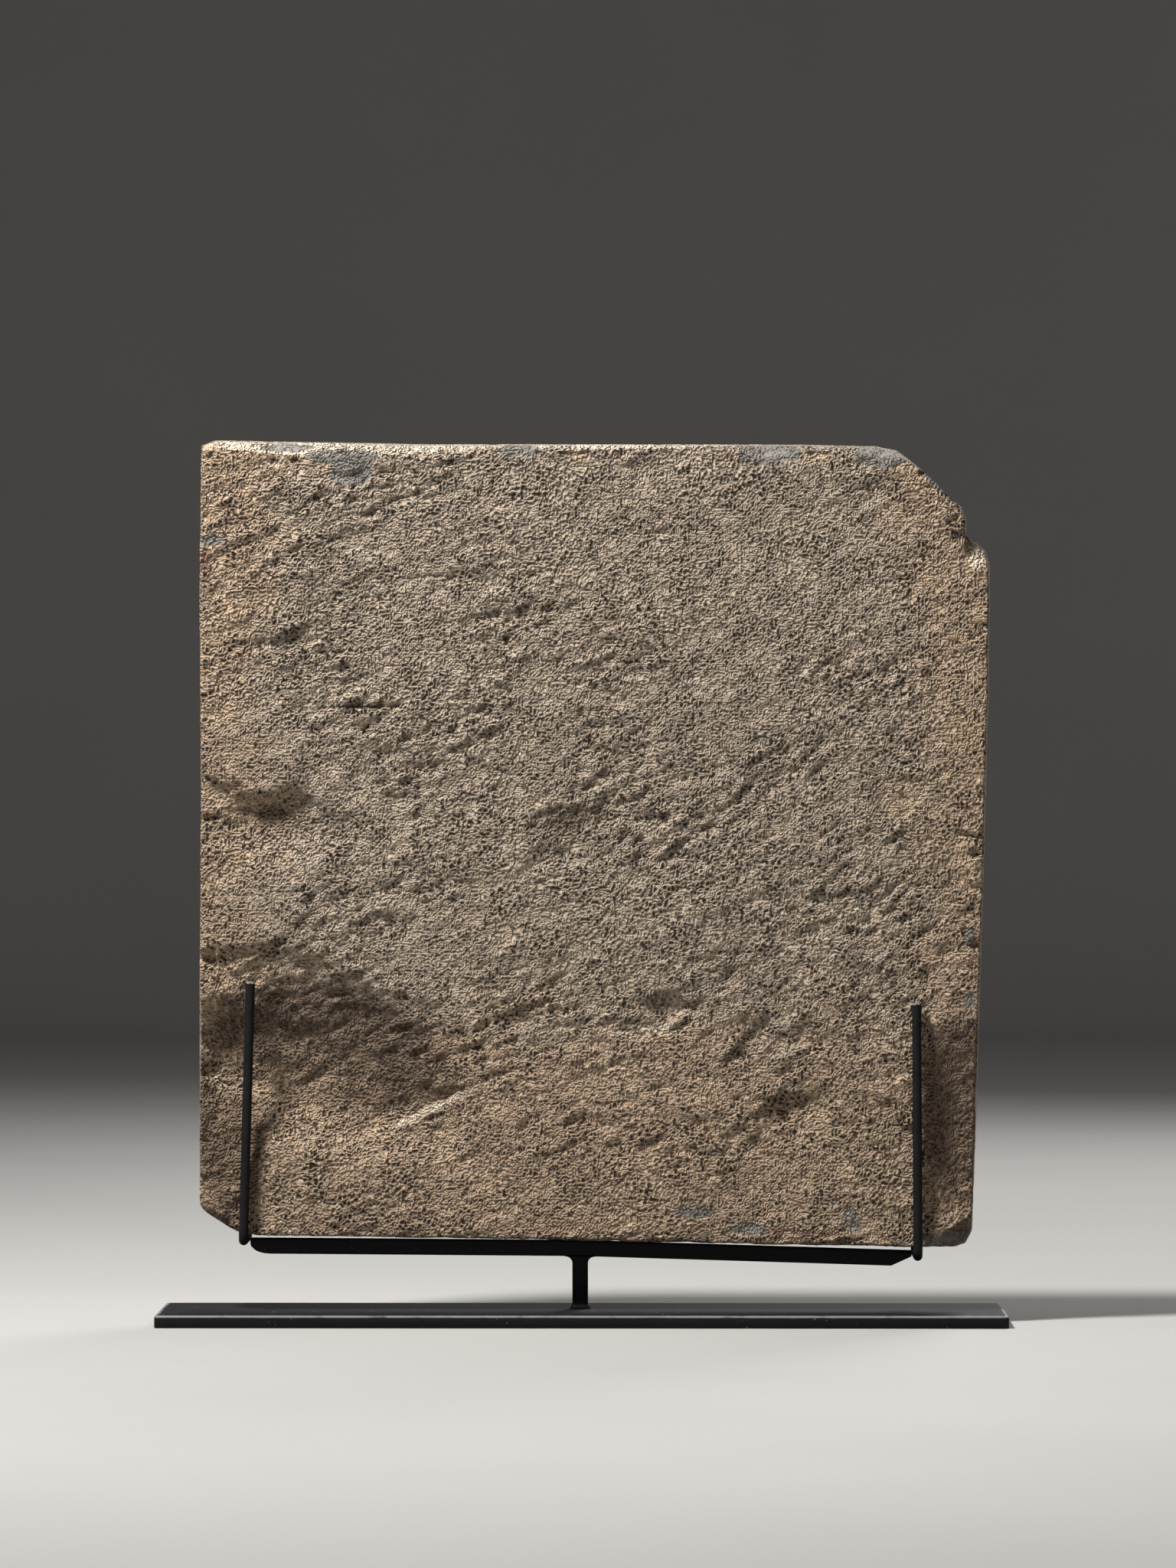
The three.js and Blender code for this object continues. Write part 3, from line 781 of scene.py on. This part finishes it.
# The plate is a rounded rectangle drawn in ring by ring as it rises: a small round at the foot, the side, a
# quarter circle at the top arris and a last ring on the flat top.
def makePlate():
    low, high = [np.array(corner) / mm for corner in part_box("base_plate")]
    middle, half = (low + high) / 2, (high - low) / 2
    turn = np.linspace(0, math.pi / 2, 6)
    inset = plate["edgeRound"] * (1 - np.cos(turn))
    inset = np.concatenate([[plate["footRound"], 0], inset, [plate["topRim"]]])
    rise = half[2] * 2 - plate["edgeRound"] * (1 - np.sin(turn))
    rise = np.concatenate([[0, plate["footRound"]], rise, [half[2] * 2]])
    rings = []
    for inward, z in zip(inset, rise):
        x, y = roundedRectangle(half[0] - inward, half[1] - inward, plate["cornerRadius"])
        x, y = finerLoop(x), finerLoop(y)
        sag = plate["waver"] * np.abs(noise(x / 16, y / 16, 201)) * (z > half[2])
        height = low[2] + z - sag * (inward < plate["topRim"])
        rings.append(np.stack([middle[0] + x, middle[1] + y, height], axis=1))
    piece = makeLoft("plate", rings)
    # The plate's top arris rings are marked worn, which gives them a lighter strip that is partly wear and
    # partly a painted highlight.
    worn = np.where((rise > half[2] * 2 - plate["edgeRound"] * 0.9) & (inset < plate["topRim"]), 1.0, 0.0)
    storeRingAttribute(piece, "worn", worn, len(x))
    storeRingAttribute(piece, "cut", worn * 0, len(x))
    addStandPiece(piece, "base_plate", steelMaterial("black plate", 0.7))


# A loop's values with every stretch between two points cut into eight.
def finerLoop(values):
    following = np.roll(values, -1)
    share = np.arange(8) / 8
    return (values[:, None] * (1 - share) + following[:, None] * share).ravel()


bar = {
    "kink": -1.5, "leftTop": 53.2, "middleTop": 51.7, "rightTop": 45.3, "corner": (13, 6.3), "size": 10,
    "round": 1.3, "endRound": 0.4,
}


# The bar's top line: two straights that meet at the kink.
def barTop(x, low, high):
    return np.interp(x, [low[0], bar["kink"], high[0]], [bar["leftTop"], bar["middleTop"], bar["rightTop"]])


# The bar's section is a rounded rectangle between its top line and its underside, which rises to a round
# corner at the left end and a straight one at the right. The end rings are drawn in by a small round.
def makeBar():
    low, high = [np.array(corner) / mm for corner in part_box("cross_bar")]
    away, rise = bar["corner"]
    ends = bar["endRound"] * np.array([0, 0.3, 1])
    x = np.concatenate([
        low[0] + ends, np.linspace(low[0] + 3, low[0] + away, 8),
        np.linspace(low[0] + 20, high[0] - 20, 90),
        np.linspace(high[0] - away, high[0] - 3, 8), high[0] - ends[::-1],
    ])
    inRound = np.clip(bar["endRound"] - np.minimum(x - low[0], high[0] - x), 0, None)
    inset = bar["endRound"] - np.sqrt(np.clip(bar["endRound"] ** 2 - inRound ** 2, 0, None))
    top = barTop(x, low, high)
    leftShare, rightShare = [np.clip(1 - reach / away, 0, 1) for reach in (x - low[0], high[0] - x)]
    ground = rise * (1 - np.sqrt(1 - leftShare ** 2) + rightShare)
    bottom = top - bar["size"] + ground
    rings = []
    for station, inward, upper, lower in zip(x, inset, top - inset, bottom + inset):
        halfHeight = (upper - lower) / 2
        halfDepth = (high[1] - low[1]) / 2 - inward
        y, z = roundedRectangle(halfDepth, halfHeight, min(bar["round"], halfHeight * 0.8))
        middle = (low[1] + high[1]) / 2
        rings.append(np.stack([np.full(len(y), station), middle + y, (upper + lower) / 2 + z], axis=1))
    piece = makeLoft("bar", rings)
    storeRingAttribute(piece, "worn", x * 0, len(y))
    storeRingAttribute(piece, "cut", x * 0, len(y))
    addStandPiece(piece, "cross_bar", steelMaterial("black bar", 0.15))


post = {
    "half": 5, "round": 1.4, "reach": 5.0, "drop": 4.5, "bead": 1.6, "beadRise": 2.6, "beadOut": 1.2,
}


# The post is a rounded square that spreads at its head into weld fillets, as a quarter circle turned
# outwards, and has a knobbly weld bead round its foot.
def makePost():
    low, high = [np.array(corner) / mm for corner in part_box("post")]
    middle = (low + high) / 2
    barLow, barHigh = [np.array(corner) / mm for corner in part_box("cross_bar")]
    z = np.concatenate([
        np.linspace(low[2], low[2] + 4, 9), np.linspace(low[2] + 6, high[2] - 6, 8),
        high[2] - post["drop"] * (1 - np.linspace(0, 1, 9)),
    ])
    climb = np.clip((z - (high[2] - post["drop"])) / post["drop"], 0, 1)
    spread = post["reach"] * (1 - np.sqrt(1 - climb ** 2))
    bead = np.clip(1 - (z - low[2]) / post["beadRise"], 0, 1)
    rings = []
    for height, outward, swell, share in zip(z, spread, bead, climb):
        x, y = roundedRectangle(post["half"], post["half"], post["round"])
        swell = post["bead"] * math.sqrt(swell) * (0.7 + 0.5 * np.abs(noise(x / 2.2, y / 2.2 + height, 211)))
        widened = x * (1 + (outward + swell) / post["half"])
        nearest, farthest = low[1] - middle[1] - post["beadOut"], high[1] - middle[1] + post["beadOut"]
        y = np.clip(y * (1 + swell / post["half"]), nearest, farthest)
        under = barTop(middle[0] + widened, barLow, barHigh) - bar["size"] - high[2]
        rise = height + share * np.minimum(under, 0)
        rings.append(np.stack([middle[0] + widened, middle[1] + y, rise], axis=1))
    piece = makeLoft("post", rings)
    storeRingAttribute(piece, "worn", z * 0, len(x))
    storeRingAttribute(piece, "cut", z * 0, len(x))
    addStandPiece(piece, "post", steelMaterial("black post", 0.2))


rod = {
    "radius": 3.0, "bend": 4.5, "front": -20.3, "back": 34.3, "hook": 22, "around": 24,
    "endRound": 0.25, "cut": 1.7, "cutDip": 0.55, "cutDipWidth": 0.3, "cutBelow": 0.2,
}
arms = {
    "arm_left": {"footX": -215.7, "tipX": -211.2, "tipZ": 218, "legZ": 52.6, "cutLean": -0.05},
    "arm_right": {"footX": 213.7, "tipX": 212.8, "tipZ": 205.2, "legZ": 42.9, "cutLean": 0.16},
}


# An arm is one rod bent twice in a plane that holds the Y axis and the arm's lean: down in front, back under
# the slab, up behind. Its path is laid out in that plane as straights and quarter circles, and a circle is
# carried along it. The first ring is cut at a slant, in two lobes, as cutters leave it.
def makeArm(name):
    arm = arms[name]
    lean = (arm["tipX"] - arm["footX"]) / (arm["tipZ"] - arm["legZ"])
    scale = math.hypot(1, lean)
    upward = np.array([lean, 0, 1]) / scale
    sideways = np.array([1, 0, -lean]) / scale
    length = (arm["tipZ"] - arm["legZ"]) * scale
    turn = np.linspace(0, math.pi / 2, 10)
    bend = rod["bend"]
    down = np.concatenate([[0, 0.35, 1.2], np.linspace(4, length - bend - 2, 40)])
    straight = np.zeros(len(down))
    across = np.linspace(rod["front"] + bend + 2, rod["back"] - bend - 2, 12)
    y = np.concatenate([
        straight + rod["front"], rod["front"] + bend * (1 - np.cos(turn)), across,
        rod["back"] - bend * (1 - np.sin(turn)), [rod["back"]] * 4,
    ])
    hookEnd = rod["hook"] * scale
    up = np.concatenate([
        length - down, bend * (1 - np.sin(turn)), across * 0, bend * (1 - np.cos(turn)),
        np.linspace(bend + 3, hookEnd, 4),
    ])
    wayY = np.concatenate([straight, np.sin(turn), across * 0 + 1, np.cos(turn), np.zeros(4)])
    wayUp = np.concatenate([straight - 1, -np.cos(turn), across * 0, np.sin(turn), np.ones(4)])
    spin = np.linspace(0, 2 * math.pi, rod["around"], endpoint=False)
    path = np.array([arm["footX"], 0, arm["legZ"]]) + y[:, None] * [[0, 1, 0]] + up[:, None] * upward[None]
    outward = wayUp[:, None] * [[0, 1, 0]] - wayY[:, None] * upward[None]
    radius = rod["radius"] * np.ones(len(y))
    radius[[0, -1]] -= rod["endRound"]
    circle = np.cos(spin)[None, :, None] * sideways + np.sin(spin)[None, :, None] * outward[:, None]
    rings = path[:, None] + radius[:, None, None] * circle
    dip = rod["cutDip"] * np.exp(-(np.cos(spin) / rod["cutDipWidth"]) ** 2)
    frontal = np.clip(np.sin(spin), 0, None) * (1 - dip)
    slant = -rod["cut"] * frontal - rod["cutBelow"] + arm["cutLean"] * rod["radius"] * (np.cos(spin) - 1)
    fade = np.array([1, 0.9, 0.5])  # how much of the slant each of the first three rings takes
    rings[:3] += fade[:, None, None] * slant[None, :, None] * upward
    piece = makeLoft(name, rings)
    cut = np.zeros(len(y))
    cut[0] = 1
    storeRingAttribute(piece, "cut", cut, rod["around"])
    storeRingAttribute(piece, "worn", cut * 0, rod["around"])
    addStandPiece(piece, name, steelMaterial("black " + name, 0.1))


makePlate()
makeBar()
makePost()
for armName in arms:
    makeArm(armName)
print("stand made")
